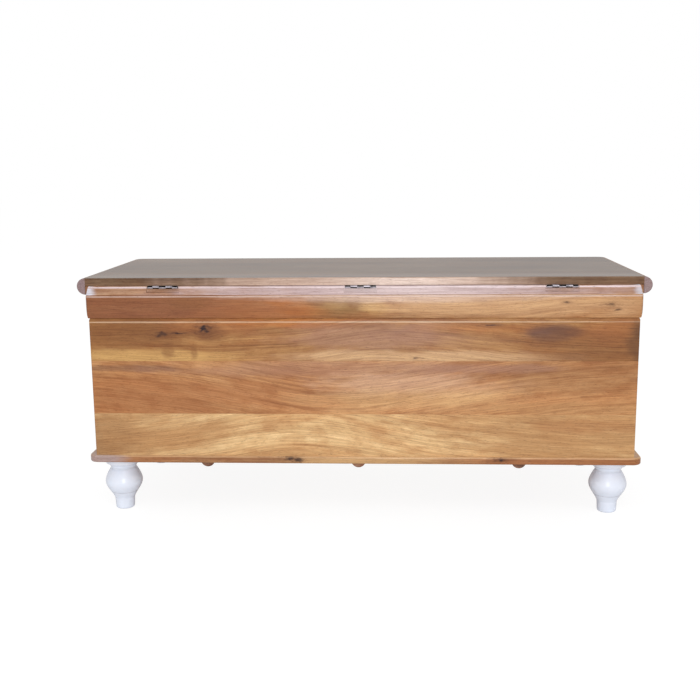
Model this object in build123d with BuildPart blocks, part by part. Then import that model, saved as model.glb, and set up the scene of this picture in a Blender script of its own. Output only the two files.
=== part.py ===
from build123d import *
import math
import os

# A blanket box in edge-glued hardwood: a plank body on a bottom board and four turned feet, with a
# moulded frieze and rim, and a lid with half-round nosings that swings on three butt hinges.
# Millimetres, +Z up. The length lies along X, the front faces -Y and the hinged back faces +Y.
# The origin is on the floor, below the middle of the whole box.

# Body: walls of three planks each, lowest first
body_length = 1155.0
body_depth = 443.5
wall_thickness = 18.0
lower_plank_height = 93.0
middle_plank_height = 115.0
upper_plank_height = 92.0
wall_corner_radius = 2.5
groove_bevel_depth = 2.0
groove_bevel_height = 4.5
corner_post_size = 28.0
post_chamfer = 2.0

# Frieze and rim above the planks
frieze_height = 49.5
frieze_proud = 4.0
frieze_belly_height = 30.6
frieze_foot_proud = 0.8
frieze_top_proud = 2.9
frieze_foot_round = 1.5
frieze_top_round = 2.5
rim_height = 19.2
rim_proud = 4.0
rim_foot_round = 3.0
back_rim_proud = 2.0
back_rim_slope = 13.0
back_rim_top_round = 4.0

# Bottom board, the half-round bearers below it and the turned feet
base_thickness = 16.0
base_proud = 13.5
base_end_proud = 16.5
base_corner_radius = 20.0
base_top_round = 4.0
base_bottom_round = 3.0
bearer_radius = 16.0
bearer_end_distance = 239.5
bearer_setback = 27.0
bearer_end_round = 1.2
middle_bearer_offset = 8.0
foot_height = 119.0
foot_inset = 57.0
foot_end_inset = 60.0
foot_sole_radius = 20.4
foot_ankle_radius = 21.6
foot_ankle_height = 24.0
foot_ball_radius = 40.4
foot_ball_height = 61.5
foot_neck_radius = 27.4
foot_neck_height = 94.0
foot_flange_radius = 38.0
foot_flange_thickness = 13.0
foot_edge_round = 4.0
foot_cove_depth = 2.0
foot_groove_radius = 0.7

# Two points that shape the foot's ball, one below and one above its widest level: how far out, and how
# far from that level, as shares of the ball's radius. The incised ring runs through the lower one.
ball_lower_reach = 0.77
ball_lower_drop = 0.51
ball_upper_reach = 0.91
ball_upper_rise = 0.4

# Lid: boards glued edge to edge, nosings on three edges and battens across the underside
lid_thickness = 16.0
lid_gap = 0.3
lid_setback = 3.0
lid_board_count = 4
lid_corner_radius = 30.0
lid_edge_round = 2.5
nosing_radius = 17.5
nosing_gap = 1.0
nosing_end_round = 1.2
batten_width = 45.0
batten_thickness = 16.0
batten_end_distance = 247.5
batten_end_gap = 12.0
batten_edge_round = 3.0

# Butt hinges with five knuckles, rolled from the leaves and open along their outer side
hinge_end_distance = 161.5
hinge_length = 63.5
knuckle_count = 5
end_knuckle_length = 11.0
leaf_thickness = 1.6
leaf_width = 14.0
pin_radius = 1.5
pin_clearance = 0.05
pin_head_radius = 2.3
pin_head_thickness = 0.6
knuckle_gap = 0.3
knuckle_slot_edge = 5.0
barrel_gap = 0.3
leaf_relief = 0.8
notch_margin = 3.0
notch_floor = 4.5

# Screws and bolts
screw_fit = 0.1
recess_width = 0.7
recess_depth = 1.0
countersink_angle = 82.0
tip_length = 2.5
hinge_screw_radius = 1.5
hinge_screw_head_radius = 2.7
hinge_screw_spacing = 22.0
hinge_screw_count = 3
body_hinge_screw_length = 18.0
lid_hinge_screw_length = 12.0
wood_screw_radius = 2.0
wood_screw_head_radius = 4.0
base_screw_length = 50.0
base_screw_end_distance = 97.5
base_screws_per_long_wall = 4
side_screw_end_distance = 141.75
side_screws_per_wall = 2
bearer_screw_length = 22.0
bearer_screw_cover = 10.0
bearer_screw_end_distance = 73.5
bearer_screws_per_bearer = 3
batten_screw_length = 26.0
foot_bolt_radius = 4.0
foot_bolt_length = 34.0
foot_bolt_cover = 3.0

# Levels, from the floor up
base_top = foot_height + base_thickness
lower_joint = base_top + lower_plank_height
upper_joint = lower_joint + middle_plank_height
wall_top = upper_joint + upper_plank_height
frieze_top = wall_top + frieze_height
rim_top = frieze_top + rim_height
lid_bottom = rim_top + lid_gap
lid_top = lid_bottom + lid_thickness
nosing_centre = lid_top - nosing_radius

# Plan: the nosing hangs outside the frieze at the front and sides, and the back is flush with the frieze
overhang = frieze_proud + nosing_gap + nosing_radius
length = body_length + 2 * overhang
depth = body_depth + overhang + frieze_proud
wall_x = body_length / 2
front_y = -depth / 2 + overhang
back_y = depth / 2 - frieze_proud
middle_y = (front_y + back_y) / 2
lid_back_y = back_y - lid_setback
nosing_x = length / 2 - nosing_radius
nosing_y = -depth / 2 + nosing_radius
inner_corner_radius = lid_corner_radius - nosing_radius
base_x = wall_x + base_end_proud
base_front_y = front_y - base_proud
base_back_y = back_y + frieze_proud

# Hinge line: the barrel lies against the lid's back edge, its top level with the lid's underside
bore_radius = pin_radius + pin_clearance
barrel_radius = bore_radius + leaf_thickness
pin_y = lid_back_y + barrel_gap + barrel_radius
pin_z = lid_bottom - barrel_radius
leaf_inner_y = lid_back_y - leaf_width
inner_knuckle_length = (hinge_length - 2 * end_knuckle_length) / (knuckle_count - 2)
hinge_x = wall_x - hinge_end_distance
bearer_x = wall_x - bearer_end_distance
batten_x = wall_x - batten_end_distance
bearer_length = base_back_y - base_front_y - 2 * bearer_setback
hinge_places = {"left": -hinge_x, "middle": 0.0, "right": hinge_x}
bearer_places = {"left": -bearer_x, "middle": middle_bearer_offset, "right": bearer_x}
batten_places = {"left": -batten_x, "middle": 0.0, "right": batten_x}

os.makedirs("parts", exist_ok=True)


def save(piece, name):
    """Names a finished piece and writes it."""
    piece.part.label = name
    export_step(piece.part, f"parts/{name}.step")


def block(x_span, y_span, z_span, mode=Mode.ADD):
    """Adds or cuts a block, given by its spans along X, Y and Z, in the part that is being made."""
    centre = ((x_span[0] + x_span[1]) / 2, (y_span[0] + y_span[1]) / 2)
    with BuildSketch(Plane.XY.offset(z_span[0])) as outline:
        with Locations(centre):
            Rectangle(x_span[1] - x_span[0], y_span[1] - y_span[0])
    extrude(outline.sketch, amount=z_span[1] - z_span[0], mode=mode)


def row(count, spacing):
    """Places along a line, evenly spaced about zero."""
    return [spacing * (place - (count - 1) / 2) for place in range(count)]


def spread(count, span, end_distance):
    """Places spread evenly along a span about zero, the outer two at a distance from its ends."""
    return row(count, (span - 2 * end_distance) / (count - 1))


def facing_up(points, level):
    """Screw places on faces that look up, where a screw goes down."""
    return [Plane((x, y, level)) for x, y in points]


def facing_down(points, level):
    """Screw places on faces that look down, where a screw goes up."""
    return [Plane((x, y, level), x_dir=(1, 0, 0), z_dir=(0, 0, -1)) for x, y in points]


def pilot_holes(places, radius, hole_depth):
    """Drills holes that clear a screw's shank."""
    with Locations(*places):
        Hole(radius + screw_fit, hole_depth)


def countersunk_holes(places, radius, head_radius, thickness):
    """Drills holes through a piece for screws whose heads finish flush."""
    with Locations(*places):
        CounterSinkHole(radius + screw_fit, head_radius + screw_fit, thickness, countersink_angle)


def countersunk_screw(radius, head_radius, screw_length):
    """A screw with its flush head at the origin, a crossed recess and its shank along -Z."""
    cone = (head_radius - radius) / math.tan(math.radians(countersink_angle / 2))
    with BuildPart() as screw:
        with BuildSketch(Plane.XZ):
            with BuildLine():
                Polyline(
                    (0, 0),
                    (head_radius, 0),
                    (radius, -cone),
                    (radius, -screw_length + tip_length),
                    (0, -screw_length),
                    close=True,
                )
            make_face()
        revolve(axis=Axis.Z)
        with BuildSketch(Plane.XY):
            Rectangle(head_radius, recess_width)
            Rectangle(recess_width, head_radius)
        extrude(amount=-recess_depth, mode=Mode.SUBTRACT)
    return screw.part


def screw_group(name, screw, places):
    """Identical screws, one at each place."""
    with BuildPart() as group:
        with Locations(*places):
            add(screw)
    save(group, name)


# Where the screws and bolts go
long_wall_screws = [
    (x, y)
    for x in spread(base_screws_per_long_wall, body_length, base_screw_end_distance)
    for y in (front_y + wall_thickness / 2, back_y - wall_thickness / 2)
]
side_wall_screws = [
    (side * (wall_x - wall_thickness / 2), middle_y + y)
    for side in (-1, 1)
    for y in spread(side_screws_per_wall, body_depth, side_screw_end_distance)
]
bearer_screw_rows = spread(bearer_screws_per_bearer, bearer_length, bearer_screw_end_distance)
bearer_screws = {
    name: [(x, (base_front_y + base_back_y) / 2 + y) for y in bearer_screw_rows]
    for name, x in bearer_places.items()
}
lid_board_width = (lid_back_y - nosing_y) / lid_board_count
batten_screws = {
    name: [(x, nosing_y + lid_board_width * (board + 0.5)) for board in range(lid_board_count)]
    for name, x in batten_places.items()
}
hinge_screws = {
    name: [(x + dx, lid_back_y - leaf_width / 2) for dx in row(hinge_screw_count, hinge_screw_spacing)]
    for name, x in hinge_places.items()
}
foot_places = {
    "front_left": (-base_x + foot_end_inset, base_front_y + foot_inset),
    "front_right": (base_x - foot_end_inset, base_front_y + foot_inset),
    "back_left": (-base_x + foot_end_inset, base_back_y - foot_inset),
    "back_right": (base_x - foot_end_inset, base_back_y - foot_inset),
}
bolt_top = base_top - foot_bolt_cover
bolt_bottom = bolt_top - foot_bolt_length

# Body walls: three planks a side, glued edge to edge. The long planks run over the side planks' ends.
plank_rows = {
    "lower": (base_top, lower_joint),
    "middle": (lower_joint, upper_joint),
    "upper": (upper_joint, wall_top),
}


def from_outside_in(found_edges, inward):
    """Edges of a long wall in order of place, its outer face's first."""
    return found_edges.sort_by(lambda edge: inward * edge.center().Y)


for row_name, (low, high) in plank_rows.items():
    for wall_name, outer_y, inward in (("front", front_y, 1), ("back", back_y, -1)):
        inner_y = outer_y + inward * wall_thickness
        with BuildPart() as long_plank:
            block((-wall_x, wall_x), sorted((outer_y, inner_y)), (low, high))
            corner_edges = from_outside_in(edges().filter_by(Axis.Z), inward)[:2]
            fillet(corner_edges, radius=wall_corner_radius)
            if row_name == "upper":
                # The bevel along the top is the lower half of the groove below the frieze
                top_face = faces().sort_by(Axis.Z)[-1]
                chamfer(
                    from_outside_in(top_face.edges(), inward)[:-1],
                    length=groove_bevel_depth,
                    length2=groove_bevel_height,
                    reference=top_face,
                )
            if row_name == "lower":
                wall_screws = [(x, y) for x, y in long_wall_screws if (y - middle_y) * inward < 0]
                pilot_holes(
                    facing_down(wall_screws, low),
                    wood_screw_radius,
                    base_screw_length - base_thickness,
                )
        save(long_plank, f"{wall_name}_plank_{row_name}")
    for wall_name, side in (("left", -1), ("right", 1)):
        with BuildPart() as side_plank:
            block(
                sorted((side * wall_x, side * (wall_x - wall_thickness))),
                (front_y + wall_thickness, back_y - wall_thickness),
                (low, high),
            )
            if row_name == "upper":
                top_face = faces().sort_by(Axis.Z)[-1]
                chamfer(
                    top_face.edges().sort_by(Axis.X)[-1 if side > 0 else 0],
                    length=groove_bevel_depth,
                    length2=groove_bevel_height,
                    reference=top_face,
                )
            if row_name == "lower":
                pilot_holes(
                    facing_down([place for place in side_wall_screws if place[0] * side > 0], low),
                    wood_screw_radius,
                    base_screw_length - base_thickness,
                )
        save(side_plank, f"{wall_name}_plank_{row_name}")

# Corner posts: square blocks glued into the four inner corners
for post_name, x_side, y_side in (
    ("front_left", -1, -1),
    ("front_right", 1, -1),
    ("back_left", -1, 1),
    ("back_right", 1, 1),
):
    post_x = x_side * (wall_x - wall_thickness)
    post_y = middle_y + y_side * (body_depth / 2 - wall_thickness)
    with BuildPart() as post:
        block(
            sorted((post_x, post_x - x_side * corner_post_size)),
            sorted((post_y, post_y - y_side * corner_post_size)),
            (base_top, frieze_top),
        )
        inner_x_edges = edges().filter_by(Axis.Z).sort_by(lambda edge: edge.center().X * x_side)[:2]
        inner_edge = inner_x_edges.sort_by(lambda edge: edge.center().Y * y_side)[0]
        chamfer(inner_edge, length=post_chamfer)
    save(post, f"corner_post_{post_name}")


wall_directions = {"front": (0, -1), "back": (0, 1), "left": (-1, 0), "right": (1, 0)}
mitre_reach = wall_thickness + max(frieze_proud, rim_proud)


def across(wall_name, level):
    """A plane across a wall's middle: x points outwards from its outer face, and y points up."""
    x_out, y_out = wall_directions[wall_name]
    outer_face = (x_out * wall_x, middle_y + y_out * body_depth / 2, level)
    return Plane(outer_face, x_dir=(x_out, y_out, 0), z_dir=(y_out, -x_out, 0))


def run_round_corners(wall_name, proud, level, height, front_radius):
    """Runs the section in the part that is being made along its wall, and mitres and rounds its ends.

    The back corners are as round as the walls' corners, and the front ones have a radius of their own.
    """
    extrude(amount=wall_x + mitre_reach, both=True)
    x_out, y_out = wall_directions[wall_name]
    corner_places = []
    for end in (-1, 1):
        end_x = x_out + end * y_out
        end_y = y_out - end * x_out
        for reach in (end * mitre_reach, -end * mitre_reach):
            corner_x = end_x * (wall_x + reach)
            corner_places.append((corner_x, middle_y + end_y * (body_depth / 2 + reach)))
    with BuildSketch(Plane.XY.offset(level)) as share:
        with BuildLine():
            Polyline(*corner_places, close=True)
        make_face()
    extrude(share.sketch, amount=height, mode=Mode.INTERSECT)
    with BuildSketch(Plane.XY.offset(level)) as rounded:
        with Locations((0, middle_y)):
            Rectangle(body_length + 2 * proud, body_depth + 2 * proud)
        fillet(vertices().group_by(Axis.Y)[-1], radius=wall_corner_radius + proud)
        fillet(vertices().group_by(Axis.Y)[0], radius=front_radius)
    extrude(rounded.sketch, amount=height, mode=Mode.INTERSECT)


# Frieze: four mitred lengths with a gently bellied face, which curves in to the groove above the planks
for wall_name in wall_directions:
    with BuildPart() as frieze:
        with BuildSketch(across(wall_name, wall_top)):
            with BuildLine():
                foot = Line((-wall_thickness, 0), (frieze_foot_proud, 0))
                face = ThreePointArc(
                    foot @ 1,
                    (frieze_proud, frieze_belly_height),
                    (frieze_top_proud, frieze_height),
                )
                top = Line(face @ 1, (-wall_thickness, frieze_height))
                Line(top @ 1, foot @ 0)
            make_face()
            fillet(vertices().group_by(Axis.Y)[0].sort_by(Axis.X)[-1], radius=frieze_foot_round)
            fillet(vertices().group_by(Axis.Y)[-1].sort_by(Axis.X)[-1], radius=frieze_top_round)
        run_round_corners(
            wall_name, frieze_proud, wall_top, frieze_height, wall_corner_radius + frieze_proud
        )
        if wall_name == "back":
            for places in hinge_screws.values():
                pilot_holes(
                    facing_up(places, frieze_top),
                    hinge_screw_radius,
                    body_hinge_screw_length - (pin_z - barrel_radius + leaf_thickness - frieze_top),
                )
    save(frieze, f"frieze_{wall_name}")

# Rim: four mitred lengths. The back one leans in and rounds over at the top, where the other ones stand
# upright behind the nosings, and the ends of the side ones are trimmed to it.
back_rim_top_proud = back_rim_proud - rim_height * math.tan(math.radians(back_rim_slope))
with BuildSketch(across("back", frieze_top)) as leaning:
    with BuildLine():
        Polyline(
            (-body_depth - mitre_reach, 0),
            (back_rim_proud, 0),
            (back_rim_top_proud, rim_height),
            (-body_depth - mitre_reach, rim_height),
            close=True,
        )
    make_face()
    fillet(vertices().group_by(Axis.Y)[-1].sort_by(Axis.X)[-1], radius=back_rim_top_round)
notch_half = hinge_length / 2 + notch_margin
mortise_half = hinge_length / 2 + knuckle_gap
for wall_name in wall_directions:
    with BuildPart() as rim:
        with BuildSketch(across(wall_name, frieze_top)):
            with Locations(((rim_proud - wall_thickness) / 2, rim_height / 2)):
                Rectangle(rim_proud + wall_thickness, rim_height)
            if wall_name != "back":
                fillet(vertices().group_by(Axis.Y)[0].sort_by(Axis.X)[-1], radius=rim_foot_round)
        run_round_corners(wall_name, rim_proud, frieze_top, rim_height, inner_corner_radius - nosing_gap)
        extrude(leaning.sketch, amount=wall_x + mitre_reach, both=True, mode=Mode.INTERSECT)
        if wall_name == "back":
            for name, x in hinge_places.items():
                block(
                    (x - notch_half, x + notch_half),
                    (lid_back_y, back_y + rim_proud),
                    (frieze_top + notch_floor, rim_top),
                    mode=Mode.SUBTRACT,
                )
                block(
                    (x - mortise_half, x + mortise_half),
                    (back_y - wall_thickness, lid_back_y),
                    (pin_z - barrel_radius, rim_top),
                    mode=Mode.SUBTRACT,
                )
                pilot_holes(
                    facing_up(hinge_screws[name], pin_z - barrel_radius),
                    hinge_screw_radius,
                    pin_z - barrel_radius - frieze_top,
                )
    save(rim, f"rim_{wall_name}")

# Bottom board: it is also the floor inside, and its rounded edge stands out below the walls
with BuildPart() as base_board:
    with BuildSketch(Plane.XY.offset(foot_height)):
        with Locations((0, (base_front_y + base_back_y) / 2)):
            RectangleRounded(2 * base_x, base_back_y - base_front_y, base_corner_radius)
    extrude(amount=base_thickness)
    fillet(faces().sort_by(Axis.Z)[-1].edges(), radius=base_top_round)
    fillet(faces().sort_by(Axis.Z)[0].edges(), radius=base_bottom_round)
    countersunk_holes(
        facing_down(long_wall_screws + side_wall_screws, foot_height),
        wood_screw_radius,
        wood_screw_head_radius,
        base_thickness,
    )
    for places in bearer_screws.values():
        pilot_holes(
            facing_down(places, foot_height),
            wood_screw_radius,
            bearer_screw_length - bearer_screw_cover,
        )
    pilot_holes(facing_down(foot_places.values(), foot_height), foot_bolt_radius, bolt_top - foot_height)
save(base_board, "base_board")

# Bearers: half-round battens below the bottom board, from front to back
for name, x in bearer_places.items():
    back_end = Plane((x, base_back_y - bearer_setback, foot_height), x_dir=(1, 0, 0), z_dir=(0, -1, 0))
    with BuildPart() as bearer:
        with BuildSketch(back_end):
            with BuildLine():
                CenterArc((0, 0), bearer_radius, 180, 180)
                Line((-bearer_radius, 0), (bearer_radius, 0))
            make_face()
        extrude(amount=bearer_length)
        fillet(edges().filter_by(GeomType.CIRCLE), radius=bearer_end_round)
        pilot_holes(
            facing_down(bearer_screws[name], foot_height - bearer_radius),
            wood_screw_head_radius,
            bearer_radius - bearer_screw_cover,
        )
        countersunk_holes(
            facing_down(bearer_screws[name], foot_height - bearer_screw_cover),
            wood_screw_radius,
            wood_screw_head_radius,
            bearer_screw_cover,
        )
    save(bearer, f"bearer_{name}")

# Feet: turned, with a flange, a short neck, a ball and a slightly tapered ankle
flange_bottom = foot_height - foot_flange_thickness
ball_lower_point = (
    foot_ball_radius * ball_lower_reach,
    foot_ball_height - foot_ball_radius * ball_lower_drop,
)
ball_upper_point = (
    foot_ball_radius * ball_upper_reach,
    foot_ball_height + foot_ball_radius * ball_upper_rise,
)
for name, (x, y) in foot_places.items():
    foot_section = Plane((x, y, 0), x_dir=(1, 0, 0), z_dir=(0, -1, 0))
    foot_axis = Axis((x, y, 0), (0, 0, 1))
    with BuildPart() as foot:
        with BuildSketch(foot_section):
            with BuildLine():
                sole = Line((0, 0), (foot_sole_radius - foot_edge_round, 0))
                heel = RadiusArc(sole @ 1, (foot_sole_radius, foot_edge_round), -foot_edge_round)
                ankle = Line(heel @ 1, (foot_ankle_radius, foot_ankle_height))
                ball = Spline(
                    ankle @ 1,
                    ball_lower_point,
                    (foot_ball_radius, foot_ball_height),
                    ball_upper_point,
                    (foot_neck_radius, foot_neck_height),
                )
                cove = SagittaArc(ball @ 1, (foot_flange_radius, flange_bottom), foot_cove_depth)
                flange = Line(cove @ 1, (foot_flange_radius, foot_height))
                top = Line(flange @ 1, (0, foot_height))
                Line(top @ 1, sole @ 0)
            make_face()
        revolve(axis=foot_axis)
        with BuildSketch(foot_section):
            with Locations(ball_lower_point):
                Circle(foot_groove_radius)
        revolve(axis=foot_axis, mode=Mode.SUBTRACT)
        pilot_holes(facing_up([(x, y)], foot_height), foot_bolt_radius, foot_height - bolt_bottom)
    save(foot, f"foot_{name}")

# Foot bolts: headless, one up the middle of each foot and into the bottom board
with BuildPart() as foot_bolts:
    with BuildSketch(Plane.XY.offset(bolt_bottom)):
        with Locations(*foot_places.values()):
            Circle(foot_bolt_radius)
    extrude(amount=foot_bolt_length)
save(foot_bolts, "foot_bolts")

# Lid boards: along the length, with round corners where the nosing turns at the front
for board in range(lid_board_count):
    board_front = nosing_y + board * lid_board_width
    board_back = board_front + lid_board_width
    with BuildPart() as lid_board:
        block((-nosing_x, nosing_x), (board_front, board_back), (lid_bottom, lid_top))
        if board == 0:
            corner_edges = edges().filter_by(Axis.Z).group_by(Axis.Y)[0]
            fillet(corner_edges, radius=inner_corner_radius)
        if board == lid_board_count - 1:
            back_edges = edges().filter_by(Axis.X).group_by(Axis.Y)[-1].sort_by(Axis.Z)
            fillet(back_edges[-1], radius=lid_edge_round)
            for places in hinge_screws.values():
                pilot_holes(
                    facing_down(places, lid_bottom),
                    hinge_screw_radius,
                    lid_hinge_screw_length - leaf_thickness,
                )
        for places in batten_screws.values():
            pilot_holes(
                facing_down([places[board]], lid_bottom),
                wood_screw_radius,
                batten_screw_length - batten_thickness,
            )
    save(lid_board, f"lid_board_{board + 1}")

# Nosings: half-round mouldings, flush with the lid's top, that hang below it and close over the rim
corner_x = length / 2 - lid_corner_radius
corner_y = -depth / 2 + lid_corner_radius


def nosing_section(flat_distance):
    """The half-round section, with its flat side at a distance from the sketch's origin."""
    with BuildLine() as outline:
        CenterArc((flat_distance, 0), nosing_radius, -90, 180)
        Line((flat_distance, -nosing_radius), (flat_distance, nosing_radius))
    make_face(outline.edges())


with BuildPart() as nosing_right:
    with BuildSketch(Plane((nosing_x, lid_back_y, nosing_centre), x_dir=(1, 0, 0), z_dir=(0, -1, 0))):
        nosing_section(0)
    extrude(amount=lid_back_y - corner_y)
    fillet(edges().filter_by(GeomType.CIRCLE).sort_by(Axis.Y)[-1], radius=nosing_end_round)
    with BuildSketch(Plane((corner_x, corner_y, nosing_centre), x_dir=(1, 0, 0), z_dir=(0, -1, 0))):
        nosing_section(inner_corner_radius)
    revolve(axis=Axis((corner_x, corner_y, 0), (0, 0, -1)), revolution_arc=45)
save(nosing_right, "nosing_right")

with BuildPart() as nosing_left:
    mirror(nosing_right.part, about=Plane.YZ)
save(nosing_left, "nosing_left")

with BuildPart() as nosing_front:
    with BuildSketch(Plane((-corner_x, nosing_y, nosing_centre), x_dir=(0, -1, 0), z_dir=(1, 0, 0))):
        nosing_section(0)
    extrude(amount=2 * corner_x)
    for side in (-1, 1):
        corner_start = Plane((side * corner_x, corner_y, nosing_centre), x_dir=(0, -1, 0), z_dir=(1, 0, 0))
        with BuildSketch(corner_start):
            nosing_section(inner_corner_radius)
        revolve(axis=Axis((side * corner_x, corner_y, 0), (0, 0, side)), revolution_arc=45)
save(nosing_front, "nosing_front")

# Lid battens: screwed across the underside, inside the rim, one screw to each board
batten_bottom = lid_bottom - batten_thickness
for name, x in batten_places.items():
    with BuildPart() as batten:
        block(
            (x - batten_width / 2, x + batten_width / 2),
            (front_y + wall_thickness + batten_end_gap, back_y - wall_thickness - batten_end_gap),
            (batten_bottom, lid_bottom),
        )
        fillet(faces().sort_by(Axis.Z)[0].edges(), radius=batten_edge_round)
        countersunk_holes(
            facing_down(batten_screws[name], batten_bottom),
            wood_screw_radius,
            wood_screw_head_radius,
            batten_thickness,
        )
    save(batten, f"lid_batten_{name}")

# Hinges: both leaves of a hinge have one section, the body leaf's turned upside down
knuckle_starts = [-hinge_length / 2]
for knuckle in range(knuckle_count - 1):
    knuckle_starts.append(-hinge_length / 2 + end_knuckle_length + knuckle * inner_knuckle_length)
knuckle_ends = knuckle_starts[1:] + [hinge_length / 2]
lid_knuckles = range(0, knuckle_count, 2)
body_knuckles = range(1, knuckle_count, 2)


def leaf_with_knuckles(x, upside, own_knuckles):
    """A flat leaf and its rolled knuckles. Upside is 1 for the leaf above the pin, -1 for the one below."""
    slot_low = math.radians(knuckle_slot_edge)
    slot_high = math.radians(90 - knuckle_slot_edge)
    outer = 2 * barrel_radius
    leaf_span = sorted((pin_z + upside * bore_radius, pin_z + upside * barrel_radius))
    block(
        (x - hinge_length / 2, x + hinge_length / 2),
        (leaf_inner_y, lid_back_y - leaf_relief),
        leaf_span,
    )
    for knuckle in own_knuckles:
        low = x + knuckle_starts[knuckle] + knuckle_gap / 2
        high = x + knuckle_ends[knuckle] - knuckle_gap / 2
        with BuildSketch(Plane((low, pin_y, pin_z), x_dir=(0, 1, 0), z_dir=(1, 0, 0))) as section:
            Circle(barrel_radius)
            with Locations((-barrel_radius, upside * (bore_radius + leaf_thickness / 2))):
                Rectangle(2 * barrel_radius, leaf_thickness)
            Circle(bore_radius, mode=Mode.SUBTRACT)
            with BuildLine():
                Polyline(
                    (0, 0),
                    (outer * math.cos(slot_low), upside * outer * math.sin(slot_low)),
                    (outer, upside * outer),
                    (outer * math.cos(slot_high), upside * outer * math.sin(slot_high)),
                    close=True,
                )
            make_face(mode=Mode.SUBTRACT)
        extrude(section.sketch, amount=high - low)


for name, x in hinge_places.items():
    with BuildPart() as lid_leaf:
        leaf_with_knuckles(x, 1, lid_knuckles)
        countersunk_holes(
            facing_down(hinge_screws[name], pin_z + bore_radius),
            hinge_screw_radius,
            hinge_screw_head_radius,
            leaf_thickness,
        )
    save(lid_leaf, f"hinge_lid_leaf_{name}")

    with BuildPart() as body_leaf:
        leaf_with_knuckles(x, -1, body_knuckles)
        countersunk_holes(
            facing_up(hinge_screws[name], pin_z - bore_radius),
            hinge_screw_radius,
            hinge_screw_head_radius,
            leaf_thickness,
        )
    save(body_leaf, f"hinge_body_leaf_{name}")

    with BuildPart() as hinge_pin:
        with BuildSketch(Plane.YZ.offset(x - hinge_length / 2)):
            with Locations((pin_y, pin_z)):
                Circle(pin_radius)
        extrude(amount=hinge_length)
        for start, direction in ((x - hinge_length / 2, -1), (x + hinge_length / 2, 1)):
            with BuildSketch(Plane.YZ.offset(start)):
                with Locations((pin_y, pin_z)):
                    Circle(pin_head_radius)
            extrude(amount=direction * pin_head_thickness)
    save(hinge_pin, f"hinge_pin_{name}")

# Screws and their places
hinge_screw_places = [place for places in hinge_screws.values() for place in places]
screw_group(
    "hinge_screws_body",
    countersunk_screw(hinge_screw_radius, hinge_screw_head_radius, body_hinge_screw_length),
    facing_up(hinge_screw_places, pin_z - bore_radius),
)
screw_group(
    "hinge_screws_lid",
    countersunk_screw(hinge_screw_radius, hinge_screw_head_radius, lid_hinge_screw_length),
    facing_down(hinge_screw_places, pin_z + bore_radius),
)
screw_group(
    "base_screws",
    countersunk_screw(wood_screw_radius, wood_screw_head_radius, base_screw_length),
    facing_down(long_wall_screws + side_wall_screws, foot_height),
)
screw_group(
    "bearer_screws",
    countersunk_screw(wood_screw_radius, wood_screw_head_radius, bearer_screw_length),
    facing_down(
        [place for places in bearer_screws.values() for place in places], foot_height - bearer_screw_cover
    ),
)
screw_group(
    "batten_screws",
    countersunk_screw(wood_screw_radius, wood_screw_head_radius, batten_screw_length),
    facing_down([place for places in batten_screws.values() for place in places], batten_bottom),
)
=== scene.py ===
# %% [markdown]
# # A blanket box in lacquered hardwood
#
# This lesson dresses a long blanket box. Its construction is already there: 57 solid pieces, each in
# its own place. What is left is what makes it look like furniture, which is the wood's figure, the
# lacquer on it, the paint on its feet and the plating on its hinges.
#
# The box is seen from behind, where the lid is hinged, so the back wall gets the closest work.
# Everything is in metres, with the length along X, the hinged back towards +Y and Z up.

# %% Load the construction
import math
import bpy
from mathutils import Matrix, Vector


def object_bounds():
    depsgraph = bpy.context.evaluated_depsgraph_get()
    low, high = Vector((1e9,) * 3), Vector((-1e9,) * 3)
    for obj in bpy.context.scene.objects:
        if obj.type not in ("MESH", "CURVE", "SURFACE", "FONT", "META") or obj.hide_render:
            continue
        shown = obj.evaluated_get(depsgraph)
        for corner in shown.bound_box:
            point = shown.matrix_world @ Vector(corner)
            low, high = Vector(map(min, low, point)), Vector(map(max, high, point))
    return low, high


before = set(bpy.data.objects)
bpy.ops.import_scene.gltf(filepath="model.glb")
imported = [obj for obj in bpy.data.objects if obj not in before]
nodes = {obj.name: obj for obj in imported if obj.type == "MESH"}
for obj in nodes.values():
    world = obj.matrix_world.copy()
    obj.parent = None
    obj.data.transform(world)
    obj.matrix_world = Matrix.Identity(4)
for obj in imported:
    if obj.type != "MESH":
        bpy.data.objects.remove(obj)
cad_low, cad_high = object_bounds()
middle = (cad_low + cad_high) / 2
print("box", [round(side, 4) for side in cad_high - cad_low], "metres,", len(nodes), "pieces")

# %% [markdown]
# ## Where we stand
#
# The camera stands about two metres behind the box, a little above its lid, and looks down at it by
# some ten degrees. A normal lens keeps the long edges almost parallel. A camera can be aimed with
# a Track To constraint, but here it also leans by half a degree, so its turn is written out.

# %% Set up the camera
camera_place = Vector((-0.0849, 2.2867, 0.7479))
camera_heading = math.radians(183.004)
camera_tilt = math.radians(79.517)
camera_lean = math.radians(-0.532)
lens_mm = 51.17
sensor_mm = 36

bpy.ops.object.select_all(action="DESELECT")
bpy.ops.object.camera_add(location=camera_place)
camera = bpy.context.object
turn = Matrix.Rotation(camera_heading, 3, "Z") @ Matrix.Rotation(camera_tilt, 3, "X")
camera.rotation_euler = (turn @ Matrix.Rotation(camera_lean, 3, "Z")).to_euler()
camera.data.sensor_width = sensor_mm
camera.data.lens = lens_mm
bpy.context.scene.camera = camera
bpy.context.scene.view_settings.view_transform = "Standard"
print("camera", round((camera_place - middle).length, 3), "metres from the box's middle")

# %% [markdown]
# ## Numbers that run through a shader
#
# A procedural material is arithmetic on the place of a point. Blender writes that arithmetic as Math
# nodes, which soon makes a long list of code. The class below holds one output socket and lets it be
# added, multiplied and faded in plain Python, so a formula reads as a formula.

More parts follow.
